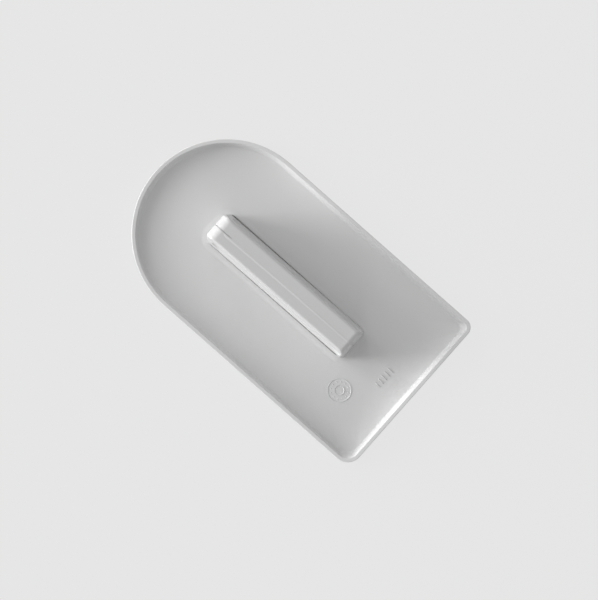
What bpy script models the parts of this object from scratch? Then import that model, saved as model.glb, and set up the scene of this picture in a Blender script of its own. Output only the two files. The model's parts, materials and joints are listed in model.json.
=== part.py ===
"""Icing smoother: a dished, D-shaped plate under a hollow handle moulded in two halves.

Metres, +Z up. The origin is on the smoothing face, under the middle of the plate.
+X runs from the round end to the straight end, and the handle lies along X.
"""

import math

import bmesh
import bpy
from mathutils import Matrix

# Plate outline
PLATE_LENGTH = 0.1500
PLATE_WIDTH = 0.0833
CORNER_LEFT = 0.0044
CORNER_RIGHT = 0.0070
LEAST_CORNER = 0.0003

# Plate section, from the underside up the rim and down into the dish
FLOOR_THICKNESS = 0.0022
EDGE_ROUND = 0.0036
LIP_WIDTH = 0.0016
LIP_ROUND = 0.0003
WALL_RISE = 0.0025
WALL_RUN = 0.0020
DISH_RISE = 0.0020
DISH_RUN = 0.0185
DISH_POWER = 3.5
DISH_CORNER_SPREAD = 0.5

# Grooves in the dish floor that take the feet of the handle's flanks, each with
# the width of its open slit at the straight end of the plate and at the round end
SLITS_LEFT = (0.00015, 0.0006)
SLITS_RIGHT = (0.0005, 0.0002)
GROOVE_END_MARGIN = 0.0028

# Handle outside
HANDLE_OFFSET_X = 0.0005
HANDLE_OFFSET_Y = -0.0001
HANDLE_LENGTH = 0.0808
HANDLE_RISE = 0.0235
FOOT_WIDTH = 0.0159
CROWN_WIDTH = 0.0120
REAR_DRAFT = 0.0004
FRONT_DRAFT = 0.0014
REAR_ROUND = 0.0048
FRONT_ROUND = 0.0024
SIDE_ROUND = 0.0012

# Upright corners of the handle, each with its size at the foot and at the crown, and how
# full they are: 2 is a quarter circle, 1 a straight chamfer
REAR_CORNER = (0.0028, 0.0007)
FRONT_CORNER = (0.0020, 0.0010)
REAR_FULLNESS = 1.25
FRONT_FULLNESS = 2.0

# Finger scoops in the two flanks
SCOOP_OFFSET_X = 0.0014
SCOOP_LENGTH = 0.0752
SCOOP_HEIGHT = 0.0120
SCOOP_DEPTH = 0.0013
SCOOP_CENTRE_Z = 0.0120
SCOOP_OVERCUT = 0.0004
SCOOP_END_SHARE = 0.98
SCOOP_END_RUN = 0.45

# Handle inside
WALL = 0.0022
RIB_THICKNESS = 0.0014
RIB_FOOT_Z = 0.0012
RIB_PITCH = 0.0220
RIB_COUNT = 4
TONGUE_DEPTH = 0.0007
TONGUE_RELIEF = 0.00006
TONGUE_LAP = 0.0004

# Lapped seam: a lip on the left half slides inside the right half's wall
LAP_LENGTH = 0.0010
LAP_THICKNESS = 0.0009

# Pins in one half and sockets in the other, above the snap tabs
PIN_COUNT = 3
PIN_Z = 0.0165
PIN_RADIUS = 0.0013
PIN_LENGTH = 0.0036
PIN_TIP = 0.0003
PIN_BOSS_RADIUS = 0.0027
SOCKET_SPARE = 0.0004

# Snap tabs on the plate and the catch ledges that they hook over
TAB_LENGTH = 0.0120
TAB_THICKNESS = 0.0022
TAB_RISE = 0.0110
TAB_ROOT = 0.0006
BARB_REACH = 0.0009
BARB_HEIGHT = 0.0009
LEDGE_TOP_Z = 0.0078
LEDGE_THICKNESS = 0.0012

# Clearances
FIT_GAP = 0.0003
PIN_CLEARANCE = 0.00015

# Facets
NOSE_STEPS = 56
CORNER_STEPS = 8
ROUND_STEPS = 6
WALL_STEPS = 10
DISH_STEPS = 10
SCOOP_STEPS = 7
ROD_SIDES = 24

# Heights above the dish floor that several pieces share, and how far the grooves reach
FOOT_Z = FIT_GAP
CROWN_Z = FOOT_Z + HANDLE_RISE
GROOVE_HALF_LENGTH = HANDLE_LENGTH / 2 - GROOVE_END_MARGIN


def quarter_turn(steps):
    """Angles from 0 to 90 degrees."""
    return [math.pi / 2 * step / steps for step in range(steps + 1)]


def arc(centre_x, centre_y, radius, start, end, steps):
    """Points on an arc, anticlockwise, with angles in degrees."""
    angles = [math.radians(start + (end - start) * step / steps) for step in range(steps + 1)]
    return [(centre_x + radius * math.cos(a), centre_y + radius * math.sin(a)) for a in angles]


def plate_ring(inset, z, left_corner, right_corner):
    """The D outline drawn in by an inset: straight end with two corners, then the round nose."""
    half_width = PLATE_WIDTH / 2 - inset
    front = PLATE_LENGTH / 2 - inset
    nose_x = (PLATE_WIDTH - PLATE_LENGTH) / 2
    points = arc(front - right_corner, right_corner - half_width, right_corner, -90, 0, CORNER_STEPS)
    points += arc(front - left_corner, half_width - left_corner, left_corner, 0, 90, CORNER_STEPS)
    points += arc(nose_x, 0, half_width, 90, 270, NOSE_STEPS)
    return [(x, y, z) for x, y in points]


def outer_plate_ring(inset, z):
    """A ring on the outside of the rim, where corners stay parallel to the outline."""
    left_corner = max(CORNER_LEFT - inset, LEAST_CORNER)
    right_corner = max(CORNER_RIGHT - inset, LEAST_CORNER)
    return plate_ring(inset, z, left_corner, right_corner)


def dish_ring(inset, z):
    """A ring inside the rim, where corners open out towards the floor of the dish."""
    spread = DISH_CORNER_SPREAD * (inset - LIP_WIDTH) - LIP_WIDTH
    return plate_ring(inset, z, CORNER_LEFT + spread, CORNER_RIGHT + spread)


def plate_rings():
    """Rings from the edge of the smoothing face, up the rim, over the lip and down to the dish floor."""
    rim_z = FLOOR_THICKNESS + DISH_RISE + WALL_RISE + LIP_ROUND
    rings = []
    for a in quarter_turn(ROUND_STEPS):
        rings.append(outer_plate_ring(EDGE_ROUND * (1 - math.sin(a)), EDGE_ROUND * (1 - math.cos(a))))
    for a in quarter_turn(ROUND_STEPS // 2):
        fall = LIP_ROUND * (1 - math.sin(a))
        rings.append(outer_plate_ring(LIP_ROUND * (1 - math.cos(a)), rim_z - fall))
    rings.append(outer_plate_ring(LIP_WIDTH, rim_z))
    dish_edge = LIP_WIDTH + WALL_RUN + DISH_RUN
    insets = [LIP_WIDTH + WALL_RUN * step / WALL_STEPS for step in range(1, WALL_STEPS)]
    insets += [LIP_WIDTH + WALL_RUN + DISH_RUN * step / DISH_STEPS for step in range(DISH_STEPS + 1)]
    for inset in insets:
        down_wall = min((inset - LIP_WIDTH) / WALL_RUN, 1)
        across_dish = (dish_edge - inset) / (dish_edge - LIP_WIDTH)
        rise = WALL_RISE * (1 + math.cos(math.pi * down_wall)) / 2 + DISH_RISE * across_dish**DISH_POWER
        rings.append(dish_ring(inset, FLOOR_THICKNESS + rise))
    return rings


def box_ring(rear, front, right, left, corner, z):
    """A rectangle with round corners, anticlockwise, at one height."""
    points = []
    corners = ((front - corner, left - corner), (rear + corner, left - corner))
    corners += ((rear + corner, right + corner), (front - corner, right + corner))
    for turn, (centre_x, centre_y) in enumerate(corners):
        points += arc(centre_x, centre_y, corner, 90 * turn, 90 * turn + 90, CORNER_STEPS)
    return [(x, y, z) for x, y in points]


def bowed_corner(size, fullness):
    """Points of a corner between two sides: a quarter circle, or flatter towards a chamfer."""
    points = []
    for a in quarter_turn(CORNER_STEPS):
        along = max(math.cos(a), 0) ** (2 / fullness)
        across = math.sin(a) ** (2 / fullness)
        points.append((size * (along - 1), size * (across - 1)))
    return points


def handle_ring(rear, front, half_width, rear_corner, front_corner, z):
    """The handle's outline at one height, anticlockwise from the front of its right side."""
    points = []
    rear_points = bowed_corner(rear_corner, REAR_FULLNESS)
    front_points = bowed_corner(front_corner, FRONT_FULLNESS)
    points += [(front + x, half_width + y) for x, y in front_points]
    points += [(rear - x, half_width + y) for x, y in reversed(rear_points)]
    points += [(rear - x, -half_width - y) for x, y in rear_points]
    points += [(front + x, -half_width - y) for x, y in reversed(front_points)]
    return [(x, y, z) for x, y in points]


def flank(z):
    """Half the handle's width at a height, before its top edges are rounded."""
    return FOOT_WIDTH / 2 - (FOOT_WIDTH - CROWN_WIDTH) / 2 * (z - FOOT_Z) / HANDLE_RISE


def rounding(z, crown, radius):
    """How far a rounded top edge has drawn in at a height."""
    return radius - math.sqrt(max(radius**2 - max(z - crown + radius, 0) ** 2, 0))


def handle_rings(inset):
    """Rings up the handle's outside, or up the hollow that lies an inset inside it."""
    crown = CROWN_Z - inset
    rear_round = REAR_ROUND - inset
    front_round = FRONT_ROUND - inset
    side_round = max(SIDE_ROUND - inset, LEAST_CORNER)
    heights = {FOOT_Z - inset, crown}
    for radius in (rear_round, front_round, side_round):
        for a in quarter_turn(ROUND_STEPS + 1):
            heights.add(crown - radius * (1 - math.sin(a)))
    rings = []
    for z in sorted(heights):
        climb = (z - FOOT_Z) / HANDLE_RISE
        end = HANDLE_LENGTH / 2 - inset
        rear = rounding(z, crown, rear_round) + REAR_DRAFT * climb - end
        front = end - FRONT_DRAFT * climb - rounding(z, crown, front_round)
        half_width = flank(z) - inset - rounding(z, crown, side_round)
        corners = []
        for foot, top in (REAR_CORNER, FRONT_CORNER):
            corners.append(max(foot + (top - foot) * climb - inset, LEAST_CORNER))
        rings.append(handle_ring(rear, front, half_width, *corners, z))
    return rings


def scoop_rings(side):
    """Rings of the cutter that hollows one flank: an arc in section, with round ends."""
    half_height = SCOOP_HEIGHT / 2
    radius = (half_height**2 + SCOOP_DEPTH**2) / (2 * SCOOP_DEPTH)
    rings = []
    for step in range(SCOOP_STEPS + 1):
        depth = -SCOOP_OVERCUT + (SCOOP_DEPTH * 0.96 + SCOOP_OVERCUT) * step / SCOOP_STEPS
        reach = math.sqrt(radius**2 - (radius - SCOOP_DEPTH + depth) ** 2)
        end = SCOOP_LENGTH / 2 - SCOOP_END_RUN * (half_height - reach)
        ring = []
        for x, height, _ in box_ring(-end, end, -reach, reach, reach * SCOOP_END_SHARE, 0):
            z = SCOOP_CENTRE_Z + height
            ring.append((SCOOP_OFFSET_X + x, side * (flank(z) - depth), z))
        rings.append(ring)
    return rings


def tab_outline():
    """Section of a snap tab across the handle: a stem with a barb on both sides and a tapered nose."""
    half = TAB_THICKNESS / 2
    catch = LEDGE_TOP_Z + FIT_GAP
    right = [
        (half, -TAB_ROOT),
        (half, catch),
        (half + BARB_REACH, catch),
        (half + BARB_REACH, catch + BARB_HEIGHT),
        (half * 0.45, TAB_RISE),
    ]
    return right + [(-y, z) for y, z in reversed(right)]


def row(count, pitch):
    """Evenly spaced places along X, centred on zero."""
    return [pitch * (index - (count - 1) / 2) for index in range(count)]


def finished(body, name, collection):
    """Turns a built shape into a named object with smooth faces and crisp corners."""
    bmesh.ops.recalc_face_normals(body, faces=body.faces)
    mesh = bpy.data.meshes.new(name)
    body.to_mesh(mesh)
    body.free()
    mesh.shade_smooth()
    mesh.set_sharp_from_angle(angle=math.radians(35))
    piece = bpy.data.objects.new(name, mesh)
    collection.objects.link(piece)
    return piece


def loft(name, rings, collection):
    """A closed body through rings of like point count, capped at both ends."""
    body = bmesh.new()
    loops = [[body.verts.new(point) for point in ring] for ring in rings]
    for first, second in zip(loops, loops[1:]):
        for here, there in zip(range(len(first)), list(range(1, len(first))) + [0]):
            body.faces.new((first[here], first[there], second[there], second[here]))
    body.faces.new(loops[0][::-1])
    body.faces.new(loops[-1])
    return finished(body, name, collection)


def block(name, low, high, collection):
    """A box between two corners."""
    body = bmesh.new()
    middle = [(a + b) / 2 for a, b in zip(low, high)]
    size = [b - a for a, b in zip(low, high)]
    bmesh.ops.create_cube(body, size=1, matrix=Matrix.Translation(middle) @ Matrix.Diagonal((*size, 1)))
    return finished(body, name, collection)


def rod(name, radius, tip_radius, x, z, start_y, end_y, collection):
    """A round bar along Y, from its full end to its tip."""
    body = bmesh.new()
    turn = Matrix.Rotation(math.radians(-90 if end_y > start_y else 90), 4, "X")
    place = Matrix.Translation((x, (start_y + end_y) / 2, z)) @ turn
    bmesh.ops.create_cone(
        body,
        cap_ends=True,
        segments=ROD_SIDES,
        radius1=radius,
        radius2=tip_radius,
        depth=abs(end_y - start_y),
        matrix=place,
    )
    return finished(body, name, collection)


def prism(name, outline, start_x, end_x, collection):
    """A section in the YZ plane, extruded along X."""
    body = bmesh.new()
    face = body.faces.new([body.verts.new((start_x, y, z)) for y, z in outline])
    grown = bmesh.ops.extrude_face_region(body, geom=[face])
    moved = [item for item in grown["geom"] if isinstance(item, bmesh.types.BMVert)]
    bmesh.ops.translate(body, verts=moved, vec=(end_x - start_x, 0, 0))
    return finished(body, name, collection)


def boolean(piece, operation, tool):
    """Cuts or joins a piece with a helper object."""
    modifier = piece.modifiers.new(tool.name, "BOOLEAN")
    modifier.operation = operation
    modifier.solver = "EXACT"
    modifier.object = tool


def plastic(piece, name, colour, roughness):
    """Gives a piece its own moulded plastic."""
    material = bpy.data.materials.new(name)
    material.use_nodes = True
    shader = material.node_tree.nodes["Principled BSDF"]
    shader.inputs["Base Color"].default_value = (*colour, 1)
    shader.inputs["Roughness"].default_value = roughness
    shader.inputs["Metallic"].default_value = 0
    piece.data.materials.append(material)


def smoothing_plate(parts, helpers, seat):
    """The dished plate with its two foot grooves and its snap tabs."""
    plate = loft("smoothing_plate", plate_rings(), parts)
    inner = FOOT_WIDTH / 2 - WALL - FIT_GAP
    floor = -TONGUE_DEPTH - FIT_GAP
    for side, label, slits in ((1, "left", SLITS_LEFT), (-1, "right", SLITS_RIGHT)):
        outline = [(-GROOVE_HALF_LENGTH, side * inner), (GROOVE_HALF_LENGTH, side * inner)]
        for end, slit in zip((GROOVE_HALF_LENGTH, -GROOVE_HALF_LENGTH), slits):
            outline.append((end, side * (FOOT_WIDTH / 2 + slit)))
        rings = [[(x, y, z) for x, y in outline] for z in (floor, FOOT_Z)]
        groove = loft(f"foot_groove_{label}", rings, helpers)
        groove.parent = seat
        boolean(plate, "DIFFERENCE", groove)
    for index, x in enumerate(row(PIN_COUNT, RIB_PITCH)):
        start = x - TAB_LENGTH / 2
        tab = prism(f"snap_tab_{index + 1}", tab_outline(), start, x + TAB_LENGTH / 2, helpers)
        tab.parent = seat
        boolean(plate, "UNION", tab)
    return plate


def handle_core(helpers, seat):
    """The hollow inside the handle, slotted where ribs, catch ledges and pin bosses stay."""
    core = loft("handle_core", handle_rings(WALL), helpers)
    core.parent = seat
    wide = FOOT_WIDTH
    for index, x in enumerate(row(RIB_COUNT, RIB_PITCH)):
        low = (x - RIB_THICKNESS / 2, -wide, RIB_FOOT_Z)
        high = (x + RIB_THICKNESS / 2, wide, CROWN_Z)
        rib = block(f"rib_slot_{index + 1}", low, high, helpers)
        rib.parent = seat
        boolean(core, "DIFFERENCE", rib)
    reach = TAB_THICKNESS / 2 + FIT_GAP
    for index, x in enumerate(row(PIN_COUNT, RIB_PITCH)):
        for side, label in ((1, "left"), (-1, "right")):
            near, far = sorted((side * reach, side * wide))
            low = (x - TAB_LENGTH / 2, near, LEDGE_TOP_Z - LEDGE_THICKNESS)
            high = (x + TAB_LENGTH / 2, far, LEDGE_TOP_Z)
            ledge = block(f"ledge_slot_{label}_{index + 1}", low, high, helpers)
            ledge.parent = seat
            boolean(core, "DIFFERENCE", ledge)
        name = f"boss_slot_{index + 1}"
        post = rod(name, PIN_BOSS_RADIUS, PIN_BOSS_RADIUS, x, PIN_Z, -wide, wide, helpers)
        post.parent = seat
        boolean(core, "DIFFERENCE", post)
    return core


def handle_half(side, label, core, parts, helpers, seat):
    """One half shell of the handle, open at the seam and at the foot."""
    half = loft(f"handle_half_{label}", handle_rings(0), parts)
    half.parent = seat
    scoop = loft(f"finger_scoop_{label}", scoop_rings(side), helpers)
    scoop.parent = seat
    boolean(half, "DIFFERENCE", scoop)
    boolean(half, "DIFFERENCE", core)
    seam = side * FIT_GAP / 2
    near, far = sorted((seam, seam - side * HANDLE_LENGTH))
    low = (-HANDLE_LENGTH, near, -HANDLE_RISE)
    high = (HANDLE_LENGTH, far, CROWN_Z + HANDLE_RISE)
    other_side = block(f"beyond_seam_{label}", low, high, helpers)
    other_side.parent = seat
    boolean(half, "DIFFERENCE", other_side)
    near, far = sorted((side * (FOOT_WIDTH / 2 - WALL), side * (FOOT_WIDTH / 2 - TONGUE_RELIEF)))
    low = (-GROOVE_HALF_LENGTH + FIT_GAP, near, -TONGUE_DEPTH)
    high = (GROOVE_HALF_LENGTH - FIT_GAP, far, FOOT_Z + TONGUE_LAP)
    tongue = block(f"foot_tongue_{label}", low, high, helpers)
    tongue.parent = seat
    boolean(half, "UNION", tongue)
    return half


def pins_and_sockets(left, right, helpers, seat):
    """Pins stand on the left half's bosses and slide into the right half's sockets."""
    root_y = PIN_BOSS_RADIUS
    tip_y = -PIN_LENGTH
    for index, x in enumerate(row(PIN_COUNT, RIB_PITCH)):
        pin = rod(f"pin_{index + 1}", PIN_RADIUS, PIN_RADIUS - PIN_TIP, x, PIN_Z, root_y, tip_y, helpers)
        pin.parent = seat
        boolean(left, "UNION", pin)
        bore = PIN_RADIUS + PIN_CLEARANCE
        socket = rod(f"socket_{index + 1}", bore, bore, x, PIN_Z, root_y, tip_y - SOCKET_SPARE, helpers)
        socket.parent = seat
        boolean(right, "DIFFERENCE", socket)


def seam_slab(name, low_y, high_y, helpers):
    """A slab along the seam, from the handle's foot to above its crown."""
    return block(name, (-HANDLE_LENGTH, low_y, FOOT_Z), (HANDLE_LENGTH, high_y, 2 * CROWN_Z), helpers)


def lapped_seam(left, right, helpers, seat):
    """A lip runs round the left half's seam and fits a rebate inside the right half's wall."""
    outside = WALL - FIT_GAP / 2 - LAP_THICKNESS
    lip = loft("seam_lip", handle_rings(outside), helpers)
    lip_hollow = loft("seam_lip_hollow", handle_rings(WALL - FIT_GAP / 2), helpers)
    lip_slab = seam_slab("seam_lip_slab", -LAP_LENGTH, LAP_LENGTH, helpers)
    rebate = loft("seam_rebate", handle_rings(outside - FIT_GAP), helpers)
    rebate_hollow = loft("seam_rebate_hollow", handle_rings(WALL + FIT_GAP), helpers)
    rebate_slab = seam_slab("seam_rebate_slab", -LAP_LENGTH - FIT_GAP, LAP_LENGTH, helpers)
    for tool in (lip, lip_hollow, lip_slab, rebate, rebate_hollow, rebate_slab):
        tool.parent = seat
    boolean(lip, "DIFFERENCE", lip_hollow)
    boolean(lip, "INTERSECT", lip_slab)
    boolean(left, "UNION", lip)
    boolean(rebate, "DIFFERENCE", rebate_hollow)
    boolean(rebate, "INTERSECT", rebate_slab)
    boolean(right, "DIFFERENCE", rebate)


def settled(piece):
    """Applies a piece's cuts and joins, then marks its crisp edges and smooths the rest."""
    bpy.context.view_layer.update()
    graph = bpy.context.evaluated_depsgraph_get()
    mesh = bpy.data.meshes.new_from_object(piece.evaluated_get(graph))
    piece.modifiers.clear()
    piece.data = mesh
    mesh.shade_smooth()
    mesh.set_sharp_from_angle(angle=math.radians(35))
    weights = piece.modifiers.new("face_weights", "WEIGHTED_NORMAL")
    weights.keep_sharp = True


def new_collection(name):
    collection = bpy.data.collections.new(name)
    bpy.context.scene.collection.children.link(collection)
    return collection


for leftover in list(bpy.data.objects):
    bpy.data.objects.remove(leftover)

smoother = new_collection("icing_smoother")
cutters = new_collection("cutters_and_cores")

handle_seat = bpy.data.objects.new("handle_seat", None)
handle_seat.location = (HANDLE_OFFSET_X, HANDLE_OFFSET_Y, FLOOR_THICKNESS)
smoother.objects.link(handle_seat)

plate = smoothing_plate(smoother, cutters, handle_seat)
hollow = handle_core(cutters, handle_seat)
left_half = handle_half(1, "left", hollow, smoother, cutters, handle_seat)
right_half = handle_half(-1, "right", hollow, smoother, cutters, handle_seat)
lapped_seam(left_half, right_half, cutters, handle_seat)
pins_and_sockets(left_half, right_half, cutters, handle_seat)
for piece in (plate, left_half, right_half):
    settled(piece)
plastic(plate, "plate_plastic", (0.58, 0.58, 0.58), 0.42)
plastic(left_half, "left_handle_plastic", (0.54, 0.54, 0.54), 0.38)
plastic(right_half, "right_handle_plastic", (0.54, 0.54, 0.54), 0.38)

for helper in cutters.objects:
    helper.hide_render = True
    helper.display_type = "WIRE"
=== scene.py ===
import json
import math

import bmesh
import bpy
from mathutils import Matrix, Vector

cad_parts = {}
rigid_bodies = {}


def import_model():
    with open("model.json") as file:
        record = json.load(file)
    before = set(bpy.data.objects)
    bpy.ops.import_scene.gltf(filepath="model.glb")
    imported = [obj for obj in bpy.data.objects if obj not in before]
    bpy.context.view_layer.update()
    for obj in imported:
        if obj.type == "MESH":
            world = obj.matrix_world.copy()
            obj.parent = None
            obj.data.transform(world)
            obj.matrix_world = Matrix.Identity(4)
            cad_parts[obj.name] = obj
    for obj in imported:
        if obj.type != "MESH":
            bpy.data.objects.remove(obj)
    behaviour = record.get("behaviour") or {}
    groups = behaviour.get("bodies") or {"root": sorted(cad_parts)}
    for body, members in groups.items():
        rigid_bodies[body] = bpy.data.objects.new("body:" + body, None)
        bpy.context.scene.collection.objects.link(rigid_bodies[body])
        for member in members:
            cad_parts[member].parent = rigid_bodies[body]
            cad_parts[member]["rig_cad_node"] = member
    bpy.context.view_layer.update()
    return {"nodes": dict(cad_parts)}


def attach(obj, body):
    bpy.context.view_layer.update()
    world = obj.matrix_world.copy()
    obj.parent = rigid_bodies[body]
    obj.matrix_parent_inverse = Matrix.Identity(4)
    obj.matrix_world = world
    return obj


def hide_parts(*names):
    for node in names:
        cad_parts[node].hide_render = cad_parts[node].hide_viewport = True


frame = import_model()
bpy.ops.object.select_all(action="DESELECT")


# Smoothing plate: one moulding in natural white polyethylene, flat underneath: a raised rim
# whose lip falls a little inward, a dish, two grooves for the handle's feet and the snap tabs
# between them. The mould's halves met round the rim and left a hair-fine step.
SKIN_MERGE = 2e-6
CRISP_ANGLE = math.radians(34)
FLOOR_Z = 0.0022
RIM_Z = 0.0070
PLATE_HALF = (0.0750, 0.04165)
CORNER_LEFT = 0.0044
CORNER_RIGHT = 0.0070
LIP_INNER = 0.0012
LIP_FALL = 0.0001
PARTING_Z = 0.0042
PARTING_STEP = 0.00005
PARTING_RUN = 0.00003
WALL_LOW = 0.0037
WALL_HIGH = 0.0066
WALL_SIDE_Y = 0.0405
WALL_END_X = 0.0735
WALL_NOSE_X = -0.040
GROOVE_TOP = 0.0026
GROOVE_END_NEAR = 2e-5
SAME_PLACE = 1e-5


def copy_of(piece):
    """A duplicate of one object, selected alone."""
    bpy.ops.object.select_all(action="DESELECT")
    piece.select_set(True)
    bpy.context.view_layer.objects.active = piece
    bpy.ops.object.duplicate()
    return bpy.context.object


def skin_of(node_name, piece_name):
    """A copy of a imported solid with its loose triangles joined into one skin."""
    piece = copy_of(frame["nodes"][node_name])
    piece.name = piece_name
    piece.data.name = piece_name
    del piece["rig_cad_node"]
    piece.data.materials.clear()
    bpy.ops.mesh.customdata_custom_splitnormals_clear()
    bpy.ops.object.mode_set(mode="EDIT")
    bpy.ops.mesh.select_all(action="SELECT")
    bpy.ops.mesh.remove_doubles(threshold=SKIN_MERGE)
    bpy.ops.mesh.tris_convert_to_quads(
        face_threshold=math.radians(4), shape_threshold=math.radians(180)
    )
    bpy.ops.mesh.select_all(action="DESELECT")
    bpy.ops.object.mode_set(mode="OBJECT")
    return piece


def pick_faces(piece, wanted):
    """Opens a piece for editing and selects the faces whose middle and normal pass a test."""
    bpy.ops.object.mode_set(mode="EDIT")
    bpy.ops.mesh.select_mode(type="FACE")
    bpy.ops.mesh.select_all(action="DESELECT")
    skin = bmesh.from_edit_mesh(piece.data)
    for face in skin.faces:
        face.select_set(wanted(face.calc_center_median(), face.normal))
    bmesh.update_edit_mesh(piece.data)


def pick_corners(piece, wanted):
    """Opens a piece for editing and selects the vertices whose place passes a test."""
    bpy.ops.object.mode_set(mode="EDIT")
    bpy.ops.mesh.select_mode(type="VERT")
    bpy.ops.mesh.select_all(action="DESELECT")
    skin = bmesh.from_edit_mesh(piece.data)
    for corner in skin.verts:
        corner.select_set(wanted(corner.co))
    skin.select_flush(True)
    bmesh.update_edit_mesh(piece.data)


def close_edit():
    """Leaves edit mode with nothing selected."""
    bpy.ops.mesh.select_all(action="DESELECT")
    bpy.ops.object.mode_set(mode="OBJECT")


def smooth_skin(piece):
    """Smooth faces with crisp edges, and normals that follow the larger faces."""
    bpy.ops.object.shade_smooth_by_angle(angle=CRISP_ANGLE)
    flow = piece.modifiers.new("face_weights", "WEIGHTED_NORMAL")
    flow.keep_sharp = True
    flow.weight = 60
    bpy.ops.object.modifier_apply(modifier=flow.name)


def moulded_finish():
    """Shader group for the finish that the mould and use leave on every piece of the tool."""
    group = bpy.data.node_groups.new("moulded_finish", "ShaderNodeTree")
    face = group.interface
    sockets = (
        ("Resin", "NodeSocketColor", (0.6, 0.6, 0.6, 1)),
        ("Milky Resin", "NodeSocketColor", (0.64, 0.64, 0.64, 1)),
        ("Cloud Size", "NodeSocketFloat", 60.0),
        ("Scuff Turn", "NodeSocketFloat", 0.0),
        ("Scuff Amount", "NodeSocketFloat", 0.2),
        ("Gloss", "NodeSocketFloat", 0.4),
        ("Gloss Spread", "NodeSocketFloat", 0.08),
        ("Grain Size", "NodeSocketFloat", 4000.0),
    )
    for name, kind, value in sockets:
        face.new_socket(name=name, in_out="INPUT", socket_type=kind).default_value = value
    face.new_socket(name="Colour", in_out="OUTPUT", socket_type="NodeSocketColor")
    face.new_socket(name="Roughness", in_out="OUTPUT", socket_type="NodeSocketFloat")
    face.new_socket(name="Height", in_out="OUTPUT", socket_type="NodeSocketFloat")
    nodes = group.nodes
    link = group.links.new
    given = nodes.new("NodeGroupInput")
    out = nodes.new("NodeGroupOutput")
    place = nodes.new("ShaderNodeTexCoord")

    # Milky clouds where the resin ran thicker and thinner
    cloud = nodes.new("ShaderNodeTexNoise")
    cloud.inputs["Detail"].default_value = 3
    link(place.outputs["Object"], cloud.inputs["Vector"])
    link(given.outputs["Cloud Size"], cloud.inputs["Scale"])
    tint = nodes.new("ShaderNodeMix")
    tint.data_type = "RGBA"
    link(cloud.outputs["Fac"], tint.inputs["Factor"])
    link(given.outputs["Resin"], tint.inputs["A"])
    link(given.outputs["Milky Resin"], tint.inputs["B"])
    link(tint.outputs["Result"], out.inputs["Colour"])

    # Short fine scuffs from wiping and washing
    turn = nodes.new("ShaderNodeVectorRotate")
    turn.rotation_type = "Z_AXIS"
    link(place.outputs["Object"], turn.inputs["Vector"])
    link(given.outputs["Scuff Turn"], turn.inputs["Angle"])
    stretch = nodes.new("ShaderNodeMapping")
    stretch.inputs["Scale"].default_value = (90, 2200, 2200)
    link(turn.outputs["Vector"], stretch.inputs["Vector"])
    scuffs = nodes.new("ShaderNodeTexNoise")
    scuffs.inputs["Scale"].default_value = 1
    scuffs.inputs["Detail"].default_value = 4
    scuffs.inputs["Roughness"].default_value = 0.6
    link(stretch.outputs["Vector"], scuffs.inputs["Vector"])
    scuff_mask = nodes.new("ShaderNodeMapRange")
    scuff_mask.inputs["From Min"].default_value = 0.6
    scuff_mask.inputs["From Max"].default_value = 0.72
    link(scuffs.outputs["Fac"], scuff_mask.inputs["Value"])
    scuff = nodes.new("ShaderNodeMath")
    scuff.operation = "MULTIPLY"
    link(scuff_mask.outputs["Result"], scuff.inputs[0])
    link(given.outputs["Scuff Amount"], scuff.inputs[1])

    # Gloss that wanders with the clouds and dulls on the scuffs
    spread = nodes.new("ShaderNodeMath")
    spread.operation = "MULTIPLY_ADD"
    link(cloud.outputs["Fac"], spread.inputs[0])
    link(given.outputs["Gloss Spread"], spread.inputs[1])
    link(given.outputs["Gloss"], spread.inputs[2])
    rough = nodes.new("ShaderNodeMath")
    rough.operation = "MULTIPLY_ADD"
    rough.inputs[1].default_value = 0.15
    link(scuff.outputs["Value"], rough.inputs[0])
    link(spread.outputs["Value"], rough.inputs[2])
    link(rough.outputs["Value"], out.inputs["Roughness"])

    # Spark-eroded grain of the mould, cut by the scuffs
    grain = nodes.new("ShaderNodeTexNoise")
    grain.inputs["Detail"].default_value = 2
    link(place.outputs["Object"], grain.inputs["Vector"])
    link(given.outputs["Grain Size"], grain.inputs["Scale"])
    height = nodes.new("ShaderNodeMath")
    height.operation = "MULTIPLY_ADD"
    height.inputs[1].default_value = -0.5
    link(scuff.outputs["Value"], height.inputs[0])
    link(grain.outputs["Fac"], height.inputs[2])
    link(height.outputs["Value"], out.inputs["Height"])
    return group


MOULDED_FINISH = moulded_finish()


def white_plastic(name, values, bump_strength):
    """A plastic for one piece, with its own settings of the mould's finish."""
    material = bpy.data.materials.new(name)
    material.use_nodes = True
    nodes = material.node_tree.nodes
    link = material.node_tree.links.new
    shader = nodes["Principled BSDF"]
    finish = nodes.new("ShaderNodeGroup")
    finish.node_tree = MOULDED_FINISH
    for socket, value in values.items():
        finish.inputs[socket].default_value = value
    bump = nodes.new("ShaderNodeBump")
    bump.inputs["Strength"].default_value = bump_strength
    bump.inputs["Distance"].default_value = 0.00001
    link(finish.outputs["Colour"], shader.inputs["Base Color"])
    link(finish.outputs["Roughness"], shader.inputs["Roughness"])
    link(finish.outputs["Height"], bump.inputs["Height"])
    link(bump.outputs["Normal"], shader.inputs["Normal"])
    shader.inputs["IOR"].default_value = 1.5
    return material


plate = skin_of("smoothing_plate", "plate_moulding")


def outer_wall(middle, normal):
    """The upright outside of the rim, above the rounded lower edge."""
    at_edge = abs(middle.y) > WALL_SIDE_Y or middle.x > WALL_END_X or middle.x < WALL_NOSE_X
    faces_out = abs(normal.z) < 0.2 and normal.xy.dot(middle.xy) > 0
    return at_edge and faces_out and WALL_LOW < middle.z < WALL_HIGH


def upper_wall(middle, normal):
    """The part of that outside above the mould's step."""
    return outer_wall(middle, normal) and middle.z > PARTING_Z + PARTING_RUN


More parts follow.
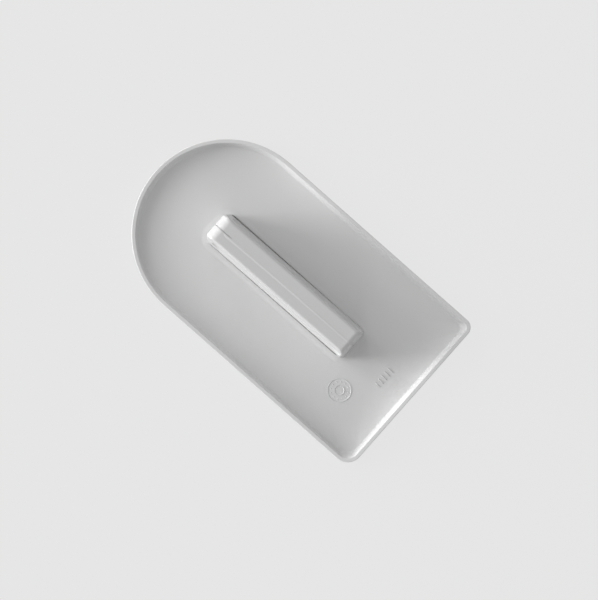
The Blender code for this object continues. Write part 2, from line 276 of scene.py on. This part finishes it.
def inset_of(at):
    """How far a place lies in from the plate's outline, seen from above."""
    length, width = PLATE_HALF
    nose_x = width - length
    if at.x < nose_x:
        return width - math.hypot(at.x - nose_x, at.y)
    radius = CORNER_LEFT if at.y > 0 else CORNER_RIGHT
    past_x = at.x - (length - radius)
    past_y = abs(at.y) - (width - radius)
    if past_x > 0 and past_y > 0:
        return radius - math.hypot(past_x, past_y)
    return min(length - at.x, width - abs(at.y))


pick_corners(plate, lambda at: abs(at.z - RIM_Z) < SAME_PLACE and inset_of(at) > LIP_INNER)
bpy.ops.transform.translate(value=(0, 0, -LIP_FALL))
close_edit()
for level in (PARTING_Z, PARTING_Z + PARTING_RUN):
    pick_faces(plate, outer_wall)
    bpy.ops.mesh.bisect(plane_co=(0, 0, level), plane_no=(0, 0, 1))
    close_edit()
pick_faces(plate, upper_wall)
bpy.ops.transform.resize(
    value=(1 - PARTING_STEP / PLATE_HALF[0], 1 - PARTING_STEP / PLATE_HALF[1], 1),
    center_override=(0, 0, PARTING_Z),
)
close_edit()
# The outer edge of each groove at each of its ends: where along the tool, between which two
# places across it, and how far the edge moves, so that the slit beside the handle tapers
GROOVE_EDGES = (
    (-0.0371, -0.0090, -0.0081, 0.00022),
    (0.0381, -0.0090, -0.0081, 0.00062),
    (-0.0371, 0.0079, 0.0090, -0.00010),
    (0.0381, 0.0079, 0.0090, 0.00002),
)


def groove_edge(at, end_x, low_y, high_y):
    """Whether a place lies on a groove's outer edge at one of its ends."""
    return abs(at.x - end_x) < GROOVE_END_NEAR and low_y < at.y < high_y and at.z < GROOVE_TOP


for end_x, low_y, high_y, shift in GROOVE_EDGES:
    pick_corners(plate, lambda at: groove_edge(at, end_x, low_y, high_y))
    bpy.ops.transform.translate(value=(0, shift, 0))
    close_edit()
smooth_skin(plate)
plate.data.materials.append(
    white_plastic(
        "plate_polyethylene",
        {
            "Resin": (0.62, 0.62, 0.62, 1),
            "Milky Resin": (0.64, 0.64, 0.64, 1),
            "Cloud Size": 55,
            "Scuff Turn": 0.7,
            "Scuff Amount": 0.15,
            "Gloss": 0.38,
            "Gloss Spread": 0.08,
        },
        bump_strength=0.12,
    )
)
plate.data.materials.append(
    white_plastic(
        "smoothing_face_polyethylene",
        {
            "Resin": (0.62, 0.62, 0.62, 1),
            "Milky Resin": (0.65, 0.65, 0.65, 1),
            "Cloud Size": 40,
            "Scuff Turn": 0.1,
            "Scuff Amount": 0.6,
            "Gloss": 0.2,
            "Gloss Spread": 0.08,
        },
        bump_strength=0.12,
    )
)
pick_faces(plate, lambda middle, normal: middle.z < 0.0001 and normal.z < -0.99)
plate.active_material_index = 1
bpy.ops.object.material_slot_assign()
close_edit()
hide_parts("smoothing_plate")
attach(plate, "root")


# Foot swell: the floor of the dish rises a little towards the handle on all four sides,
# more on the right, where the moulding is thicker round the grooves. It is part of the plate.
SWELL_MIDDLE = (0.0005, 0.0000)
SWELL_SIZE = (0.0864, 0.0227)
SWELL_CORNER = 0.0074
SWELL_CORNER_STEPS = 12
SWELL_RINGS = 6
SWELL_STEP = 0.0005
SWELL_RISE = 0.00035
SWELL_LEFT_SHARE = 0.4
SWELL_RIGHT_SHIFT = 0.00018
SWELL_SINK = 0.00001
SWELL_THICKNESS = 0.0003
bpy.ops.object.select_all(action="DESELECT")
bpy.ops.mesh.primitive_plane_add(size=1, location=(*SWELL_MIDDLE, FLOOR_Z - SWELL_SINK))
swell = bpy.context.object
bpy.ops.transform.resize(value=(*SWELL_SIZE, 1))
swell.name = "foot_swell"
swell.data.name = swell.name
bpy.ops.object.transform_apply(location=True, rotation=True, scale=True)
bpy.ops.object.mode_set(mode="EDIT")
bpy.ops.mesh.select_mode(type="VERT")
bpy.ops.mesh.select_all(action="SELECT")
bpy.ops.mesh.bevel(offset=SWELL_CORNER, segments=SWELL_CORNER_STEPS, affect="VERTICES")
bpy.ops.mesh.select_mode(type="FACE")
bpy.ops.mesh.select_all(action="SELECT")
reached = 0
for ring in range(1, SWELL_RINGS + 1):
    share = ring / SWELL_RINGS
    rise = SWELL_RISE * share * share * (3 - 2 * share)
    bpy.ops.mesh.inset(thickness=SWELL_STEP, depth=rise - reached)
    reached = rise
bpy.ops.mesh.delete(type="FACE")
bpy.ops.object.mode_set(mode="OBJECT")
pick_corners(swell, lambda at: at.y > 0)
bpy.ops.transform.resize(
    value=(1, 1, SWELL_LEFT_SHARE), center_override=(0, 0, FLOOR_Z - SWELL_SINK)
)
close_edit()
pick_corners(swell, lambda at: at.y < 0)
bpy.ops.transform.translate(value=(0, SWELL_RIGHT_SHIFT, 0))
close_edit()
depth = swell.modifiers.new("depth", "SOLIDIFY")
depth.thickness = SWELL_THICKNESS
depth.offset = -1
bpy.ops.object.modifier_apply(modifier=depth.name)
bpy.ops.object.shade_smooth_by_angle(angle=CRISP_ANGLE)
swell.data.materials.append(plate.data.materials[0])
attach(swell, "root")


# Mould insert mark: a plain raised ring with pips round it, left in the dish floor by a
# round insert in the mould. It is part of the plate's plastic.
MARK_AT = (0.0491, -0.0186)
MARK_RADIUS = 0.0052
MARK_LINE = 0.00045
MARK_RISE = 0.00024
MARK_SINK = 0.0002
MARK_SOFT_EDGE = 0.00006
CORE_SHARE = 0.42
PIP_COUNT = 12
PIP_RADIUS = 0.00028
PIP_CIRCLE = 0.0038
PIP_FLATNESS = 0.45


def soften_edges(piece, width):
    """Small rounds on a piece's sharp edges, and smooth faces."""
    soft = piece.modifiers.new("soft_edges", "BEVEL")
    soft.width = width
    soft.segments = 2
    soft.limit_method = "ANGLE"
    soft.angle_limit = math.radians(40)
    bpy.ops.object.modifier_apply(modifier=soft.name)
    bpy.ops.object.shade_smooth_by_angle(angle=CRISP_ANGLE)


def join_into(first, others):
    """Joins objects into the first one, which keeps its name."""
    bpy.ops.object.select_all(action="DESELECT")
    for part in (first, *others):
        part.select_set(True)
    bpy.context.view_layer.objects.active = first
    bpy.ops.object.join()
    first.data.name = first.name


def raised_ring(name, radius):
    """A flat-topped ring that stands on the dish floor."""
    bpy.ops.object.select_all(action="DESELECT")
    bpy.ops.mesh.primitive_cylinder_add(
        vertices=72,
        radius=radius,
        depth=MARK_RISE + MARK_SINK,
        location=(*MARK_AT, FLOOR_Z + (MARK_RISE - MARK_SINK) / 2),
    )
    ring = bpy.context.object
    ring.name = name
    bpy.ops.object.transform_apply(location=True, rotation=True, scale=True)
    pick_faces(ring, lambda middle, normal: normal.z > 0.9)
    bpy.ops.mesh.inset(thickness=MARK_LINE)
    bpy.ops.transform.translate(value=(0, 0, -MARK_RISE - MARK_SINK / 2))
    close_edit()
    soften_edges(ring, MARK_SOFT_EDGE)
    return ring


mark = raised_ring("mould_insert_mark", MARK_RADIUS)
core_ring = raised_ring("core_ring", MARK_RADIUS * CORE_SHARE)
bpy.ops.object.select_all(action="DESELECT")
bpy.ops.mesh.primitive_uv_sphere_add(
    segments=16,
    ring_count=8,
    radius=PIP_RADIUS,
    location=(MARK_AT[0] + PIP_CIRCLE, MARK_AT[1], FLOOR_Z),
)
pip = bpy.context.object
pip.scale.z = PIP_FLATNESS
bpy.ops.object.transform_apply(location=True, rotation=True, scale=True)
bpy.ops.object.shade_smooth()
pips = [pip]
for index in range(1, PIP_COUNT):
    pips.append(copy_of(pip))
    bpy.ops.transform.rotate(
        value=2 * math.pi * index / PIP_COUNT,
        orient_axis="Z",
        center_override=(*MARK_AT, FLOOR_Z),
    )
    bpy.ops.object.transform_apply(location=True, rotation=True, scale=True)
join_into(mark, (core_ring, *pips))
mark.data.materials.append(plate.data.materials[0])
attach(mark, "root")


# Cavity tally: five short raised bars that tell which cavity of the mould made the plate.
# They are part of the plate's plastic and follow the dish where it starts to rise.
TALLY_AT = (0.0600, -0.0015)
TALLY_BAR = (0.0030, 0.00045)
TALLY_PITCH = 0.0021
TALLY_COUNT = 5
TALLY_TOP = 0.00252
TALLY_DEPTH = 0.0005
TALLY_FALL = 0.00011
TALLY_SOFT_EDGE = 0.00008
first_bar_y = TALLY_AT[1] - TALLY_PITCH * (TALLY_COUNT - 1) / 2
bpy.ops.object.select_all(action="DESELECT")
bpy.ops.mesh.primitive_cube_add(
    size=1,
    location=(TALLY_AT[0], first_bar_y, TALLY_TOP - TALLY_DEPTH / 2),
    scale=(*TALLY_BAR, TALLY_DEPTH),
)
tally = bpy.context.object
tally.name = "cavity_tally"
bpy.ops.object.transform_apply(location=True, rotation=True, scale=True)
pick_corners(tally, lambda at: at.x < TALLY_AT[0])
bpy.ops.transform.translate(value=(0, 0, -TALLY_FALL))
close_edit()
soften_edges(tally, TALLY_SOFT_EDGE)
bars = []
for index in range(1, TALLY_COUNT):
    bars.append(copy_of(tally))
    bpy.ops.transform.translate(value=(0, TALLY_PITCH * index, 0))
    bpy.ops.object.transform_apply(location=True, rotation=True, scale=True)
join_into(tally, bars)
tally.data.materials.append(plate.data.materials[0])
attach(tally, "root")


# Handle halves: two hollow mouldings in the same plastic, pressed together over the pins
# and hooked over the plate's snap tabs, so that each foot stands in its groove. The right
# half came out of the mould a hair low, and the handle sits a fifth of a degree askew.
SEAM_Y = -0.0001
SEAM_HALF_GAP = 0.00015
SEAM_OPEN_X = -0.0305
SEAM_SHUT_X = -0.0295
SEAM_CLOSE_NOSE = 0.00004
SEAM_CLOSE_REST = 0.0001
SEAM_NEAR = 1e-6
CROWN_Z = 0.0260
FOOT_Z = 0.0025
FOOT_DROP = 0.00028
SKEW = math.radians(0.2)
SKEW_CENTRE = (-0.032, 0, 0)


def set_askew(piece):
    """Turns a piece of the handle by its small misalignment."""
    bpy.ops.object.mode_set(mode="EDIT")
    bpy.ops.mesh.select_all(action="SELECT")
    bpy.ops.transform.rotate(value=-SKEW, orient_axis="Z", center_override=SKEW_CENTRE)
    close_edit()


def handle_half(side, label, drop, scuff_turn):
    """One half of the handle: closed up to the seam, and standing on the dish floor."""
    half = skin_of(f"handle_half_{label}", f"handle_{label}_moulding")
    seam_face = SEAM_Y + side * SEAM_HALF_GAP
    for station in (SEAM_OPEN_X, SEAM_SHUT_X):
        bpy.ops.object.mode_set(mode="EDIT")
        bpy.ops.mesh.select_all(action="SELECT")
        bpy.ops.mesh.bisect(plane_co=(station, 0, 0), plane_no=(1, 0, 0))
        close_edit()
    for low, high, close in ((-1, SEAM_OPEN_X, SEAM_CLOSE_NOSE), (SEAM_OPEN_X, 1, SEAM_CLOSE_REST)):
        pick_corners(
            half, lambda at: abs(at.y - seam_face) < SEAM_NEAR and low < at.x - SAME_PLACE <= high
        )
        bpy.ops.transform.translate(value=(0, -side * close, 0))
        close_edit()
    pick_corners(half, lambda at: abs(at.z - FOOT_Z) < SAME_PLACE)
    bpy.ops.transform.translate(value=(0, 0, -FOOT_DROP))
    close_edit()
    pick_corners(half, lambda at: at.z > FOOT_Z)
    bpy.ops.transform.resize(
        value=(1, 1, 1 - drop / (CROWN_Z - FOOT_Z)), center_override=(0, 0, FOOT_Z)
    )
    close_edit()
    set_askew(half)
    smooth_skin(half)
    # The handle's grey is set darker than the plate's, though it is the same plastic: painted shade
    # on the handle, standing in for the bounce light that the dish floor gets and the crown does
    # not.
    half.data.materials.append(
        white_plastic(
            f"{label}_handle_polyethylene",
            {
                "Resin": (0.54, 0.54, 0.54, 1),
                "Milky Resin": (0.56, 0.56, 0.56, 1),
                "Cloud Size": 80,
                "Scuff Turn": scuff_turn,
                "Scuff Amount": 0.18,
                "Gloss": 0.34,
                "Gloss Spread": 0.1,
            },
            bump_strength=0.12,
        )
    )
    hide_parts(f"handle_half_{label}")
    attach(half, "root")
    return half


left_half = handle_half(1, "left", drop=0.00002, scuff_turn=0.0)
handle_half(-1, "right", drop=0.00014, scuff_turn=0.03)


# Seam weld: the low smooth bead of plastic that joins the two halves along the crown. It
# bridges the seam except near the round end, where it is only a ridge on the right half.
WELD_START = -0.0342
WELD_END = 0.03881
WELD_EDGE_Y = 0.0001
WELD_RAMP_Y = -0.00015
WELD_RAMP = 0.0009
WELD_DEPTH = 0.0004
WELD_FALL = 0.00013
WELD_CUTS = 6
bpy.ops.object.select_all(action="DESELECT")
weld_far = WELD_RAMP_Y - WELD_RAMP
weld_middle = (WELD_START + WELD_END) / 2
bpy.ops.mesh.primitive_cube_add(
    size=1,
    location=(weld_middle, (WELD_EDGE_Y + weld_far) / 2, CROWN_Z - WELD_DEPTH / 2),
    scale=(WELD_END - WELD_START, WELD_EDGE_Y - weld_far, WELD_DEPTH),
)
weld = bpy.context.object
weld.name = "seam_weld"
weld.data.name = weld.name
bpy.ops.object.transform_apply(location=True, rotation=True, scale=True)


def cut_weld(place, direction):
    """Cuts the whole bead once across or along."""
    bpy.ops.object.mode_set(mode="EDIT")
    bpy.ops.mesh.select_all(action="SELECT")
    bpy.ops.mesh.bisect(plane_co=place, plane_no=direction)
    close_edit()


for cut in range(WELD_CUTS):
    across = WELD_RAMP_Y - WELD_RAMP * cut / WELD_CUTS
    cut_weld((0, across, 0), (0, 1, 0))
for cut in range(1, WELD_CUTS + 1):
    across = WELD_RAMP_Y - WELD_RAMP * cut / WELD_CUTS
    share = cut / WELD_CUTS
    fall = WELD_FALL * share * share * (3 - 2 * share)
    pick_corners(
        weld, lambda at: at.z > CROWN_Z - WELD_DEPTH / 2 and abs(at.y - across) < SAME_PLACE
    )
    bpy.ops.transform.translate(value=(0, 0, -fall))
    close_edit()
# Each place along the bead, with how far its edge and its ramp stand over, and its drop
WELD_PLACES = (
    (-0.0342, -0.00030, -0.00047, 0.00013),
    (-0.0330, -0.00030, -0.00047, 0.00002),
    (-0.0315, -0.00030, -0.00045, 0),
    (-0.0305, -0.00030, -0.00043, 0),
    (-0.0295, 0, -0.00040, 0),
    (-0.0260, 0, -0.00036, 0),
    (-0.0157, 0, -0.00018, 0),
    (-0.0004, 0, 0, 0),
    (0.0371, 0, -0.00004, 0),
    (0.03764, 0, -0.00004, 0.00006),
    (0.03816, 0, -0.00004, 0.00024),
    (0.03853, 0, -0.00004, 0.00045),
    (0.03881, 0, -0.00004, 0.00068),
)
for along, edge_shift, ramp_shift, drop in WELD_PLACES:
    if WELD_START < along < WELD_END:
        cut_weld((along, 0, 0), (1, 0, 0))
weld_divide_y = (WELD_EDGE_Y + WELD_RAMP_Y) / 2
for along, edge_shift, ramp_shift, drop in WELD_PLACES:
    pick_corners(weld, lambda at: abs(at.x - along) < SAME_PLACE and at.y < weld_divide_y)
    bpy.ops.transform.translate(value=(0, ramp_shift, -drop))
    close_edit()
    pick_corners(weld, lambda at: abs(at.x - along) < SAME_PLACE and at.y > weld_divide_y)
    bpy.ops.transform.translate(value=(0, edge_shift, -drop))
    close_edit()
set_askew(weld)
bpy.ops.object.shade_smooth_by_angle(angle=CRISP_ANGLE)
weld.data.materials.append(left_half.data.materials[0])
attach(weld, "root")


# Studio table: a wide pale sheet, even in the picture, that keeps a faint shadow. It is
# clear from below, where the tool's smoothing face can be seen.
TABLE_SIZE = 12
TABLE_DROP = 0.0001
TABLE_CLEAR_WITHIN = 0.0005
PAPER_GREY = 0.75
EVEN_GREY = 0.795
EVEN_SHARE = 0.95
bpy.ops.object.select_all(action="DESELECT")
bpy.ops.mesh.primitive_plane_add(size=TABLE_SIZE, location=(0, 0, -TABLE_DROP))
table = bpy.context.object
table.name = "studio_table"
paper = bpy.data.materials.new("pale_paper")
paper.use_nodes = True
paper_nodes = paper.node_tree.nodes
paper_link = paper.node_tree.links.new
paper_shader = paper_nodes["Principled BSDF"]
paper_shader.inputs["Base Color"].default_value = (PAPER_GREY, PAPER_GREY, PAPER_GREY, 1)
paper_shader.inputs["Roughness"].default_value = 0.9
paper_shader.inputs["Specular IOR Level"].default_value = 0
even_white = paper_nodes.new("ShaderNodeEmission")
even_white.inputs["Color"].default_value = (EVEN_GREY, EVEN_GREY, EVEN_GREY, 1)
rays = paper_nodes.new("ShaderNodeLightPath")
seen = paper_nodes.new("ShaderNodeMath")
seen.operation = "MULTIPLY"
seen.inputs[1].default_value = EVEN_SHARE
even = paper_nodes.new("ShaderNodeMixShader")
below = paper_nodes.new("ShaderNodeMixShader")
facing = paper_nodes.new("ShaderNodeNewGeometry")
clear = paper_nodes.new("ShaderNodeBsdfTransparent")
close_by = paper_nodes.new("ShaderNodeMath")
close_by.operation = "LESS_THAN"
close_by.inputs[1].default_value = TABLE_CLEAR_WITHIN
opened = paper_nodes.new("ShaderNodeMath")
opened.operation = "MAXIMUM"
paper_link(rays.outputs["Is Camera Ray"], seen.inputs[0])
paper_link(seen.outputs["Value"], even.inputs["Fac"])
paper_link(paper_shader.outputs["BSDF"], even.inputs[1])
paper_link(even_white.outputs["Emission"], even.inputs[2])
paper_link(rays.outputs["Ray Length"], close_by.inputs[0])
paper_link(close_by.outputs["Value"], opened.inputs[0])
paper_link(facing.outputs["Backfacing"], opened.inputs[1])
paper_link(opened.outputs["Value"], below.inputs["Fac"])
paper_link(even.outputs["Shader"], below.inputs[1])
paper_link(clear.outputs["BSDF"], below.inputs[2])
paper_link(below.outputs["Shader"], paper_nodes["Material Output"].inputs["Surface"])
table.data.materials.append(paper)


# Light: large softboxes, low and higher, on the round end's side, a weak fill from the
# straight end's side, and a pale room.
ROOM_STRENGTH = 0.507
room = bpy.data.worlds.new("pale_room")
bpy.context.scene.world = room
room.use_nodes = True
room_light = room.node_tree.nodes["Background"]
room_light.inputs["Color"].default_value = (1, 1, 1, 1)
room_light.inputs["Strength"].default_value = ROOM_STRENGTH
SOFTBOX_DISTANCE = 4.0
SOFTBOX_SIZE = 1.6
SOFTBOX_CLEAR = 0.02


def softbox(name, azimuth, elevation, energy):
    """A studio softbox aimed at the middle of the tool, flattened to clear the table."""
    turn = math.radians(azimuth)
    climb = math.radians(elevation)
    lamp = bpy.data.lights.new(name, "AREA")
    lamp.shape = "ELLIPSE"
    lamp.size = SOFTBOX_SIZE
    lamp.size_y = min(SOFTBOX_SIZE, 2 * SOFTBOX_DISTANCE * math.sin(climb) - SOFTBOX_CLEAR)
    lamp.energy = energy
    box = bpy.data.objects.new(name, lamp)
    bpy.context.scene.collection.objects.link(box)
    level = math.cos(climb)
    way = Vector((math.cos(turn) * level, math.sin(turn) * level, math.sin(climb)))
    box.location = way * SOFTBOX_DISTANCE
    box.rotation_euler = way.to_track_quat("Z", "Y").to_euler()
    box.visible_camera = False


softbox("softbox_low_side", 215, 11, 96)
softbox("softbox_low_flank", 230, 5, 49.5)
softbox("softbox_low_end", 200, 5, 27)
softbox("softbox_high_side", 215, 28, 36.5)
softbox("softbox_high_end", 185, 28, 33)
softbox("softbox_far_end", 150, 18, 23.4)
softbox("softbox_fill", 310, 12, 12)


# Camera: straight above, turned so that the tool lies across the picture.
PIXEL = 0.4382e-3
PICTURE_WIDTH = 598
SENSOR_WIDTH = 36
CAMERA_AT = (0.00955, -0.000635)
CAMERA_RISE = 2.5
CAMERA_TURN = math.radians(41.44)
camera_data = bpy.data.cameras.new("camera")
camera = bpy.data.objects.new("camera", camera_data)
bpy.context.scene.collection.objects.link(camera)
camera.location = (*CAMERA_AT, CAMERA_RISE + RIM_Z)
camera.rotation_euler = (0, 0, CAMERA_TURN)
camera_data.sensor_fit = "HORIZONTAL"
camera_data.sensor_width = SENSOR_WIDTH
camera_data.lens = SENSOR_WIDTH * CAMERA_RISE / (PICTURE_WIDTH * PIXEL)
camera_data.clip_end = 10
bpy.context.scene.camera = camera
bpy.context.scene.view_settings.view_transform = "Standard"
